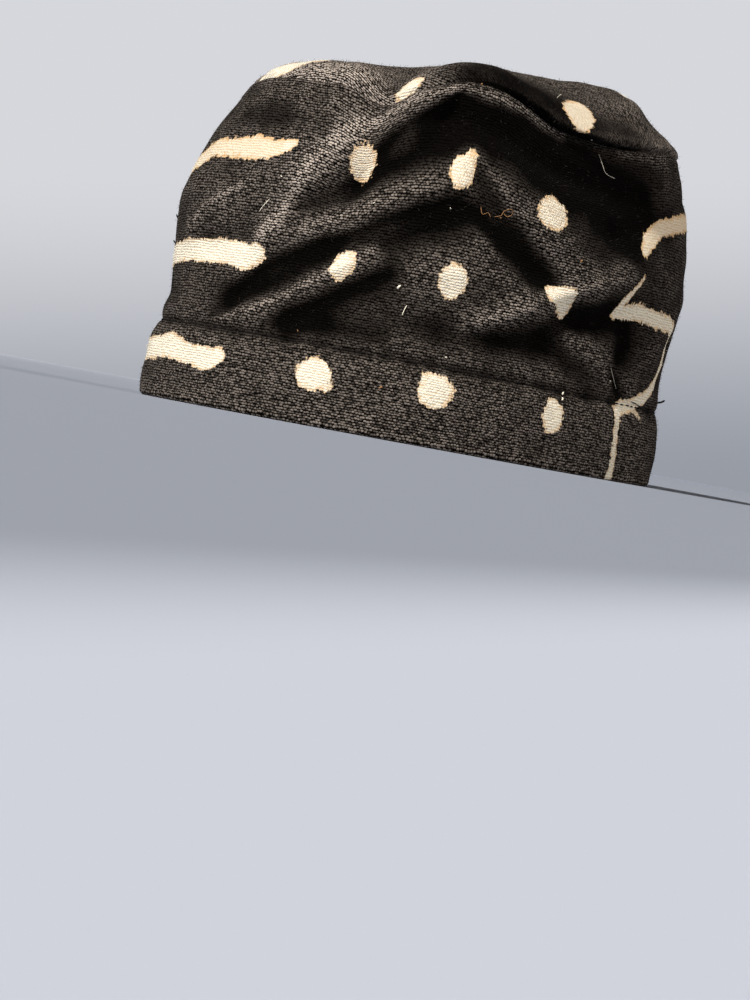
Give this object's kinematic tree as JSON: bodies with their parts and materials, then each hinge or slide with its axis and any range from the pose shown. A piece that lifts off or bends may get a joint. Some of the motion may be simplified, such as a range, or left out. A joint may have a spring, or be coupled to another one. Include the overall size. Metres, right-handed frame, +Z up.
{
  "type": "kufi",
  "caption": "Soft brimless cap of hand-woven dyed cotton: a side wall with a turned-in hem and a puffed oval top panel, open below for the head.",
  "frame": {"origin": "middle of the rim, on the surface that the cap rests on", "axes": "+Z up; the front of the cap faces -Y; the wearer's left is +X; the head's length runs along Y"},
  "size_m": [0.1598, 0.1996, 0.1317],
  "materials": {
    "wall_cloth": "hand-woven cotton dyed brown-black, with cream bars, dots and a zigzag left undyed",
    "crown_cloth": "hand-woven cotton dyed brown-black, with a few cream dots and bars left undyed"
  },
  "bodies": {
    "root": {"side_wall": "wall_cloth", "top_panel": "crown_cloth"}
  },
  "joints": []
}
